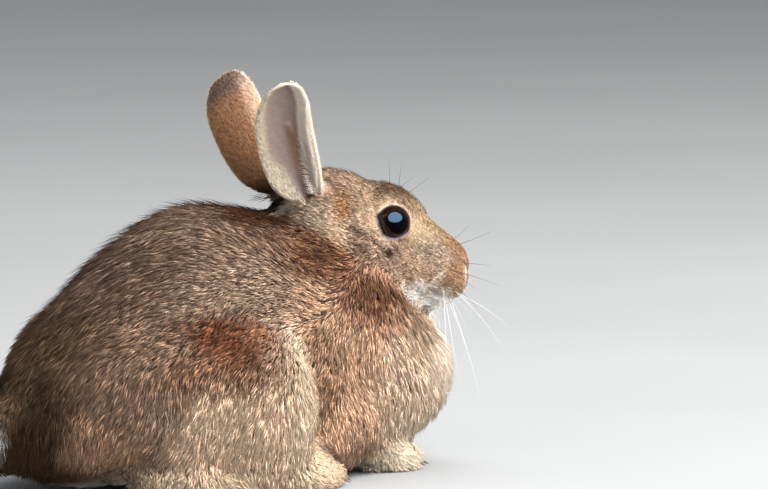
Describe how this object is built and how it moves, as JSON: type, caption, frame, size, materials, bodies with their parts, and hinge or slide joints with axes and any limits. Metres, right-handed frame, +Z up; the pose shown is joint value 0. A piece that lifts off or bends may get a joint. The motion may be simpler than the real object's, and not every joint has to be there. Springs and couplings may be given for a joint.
{
  "type": "eastern cottontail rabbit",
  "caption": "Life-size crouching rabbit with its head up and ears raised, standing on its own four feet, for display.",
  "frame": {"origin": "middle of the bounding box's underside, on the floor between the feet", "axes": "+X the way the rabbit faces, +Y its left side, +Z up"},
  "size_m": [0.2234, 0.1198, 0.1686],
  "materials": {
    "fur_brown": "soft agouti fur, buff tips over dark brown",
    "fur_pale": "short pale buff fur",
    "fur_white": "soft white fur",
    "fur_ear": "very short fine fur, cream rim",
    "eye": "wet gloss, dark brown iris",
    "nose": "fine matt skin",
    "whisker": "thin tapered hairs, dark or pale",
    "claw": "smooth horn"
  },
  "bodies": {
    "root": {"head": "fur_brown", "neck": "fur_brown", "trunk": "fur_brown", "tail": "fur_white", "ear_left": "fur_ear", "ear_right": "fur_ear", "eye_left": "eye", "eye_right": "eye", "thigh_left": "fur_brown", "thigh_right": "fur_brown", "hind_foot_left": "fur_pale", "hind_foot_right": "fur_pale", "foreleg_left": "fur_brown", "foreleg_right": "fur_brown", "forepaw_left": "fur_pale", "forepaw_right": "fur_pale"}
  },
  "joints": []
}
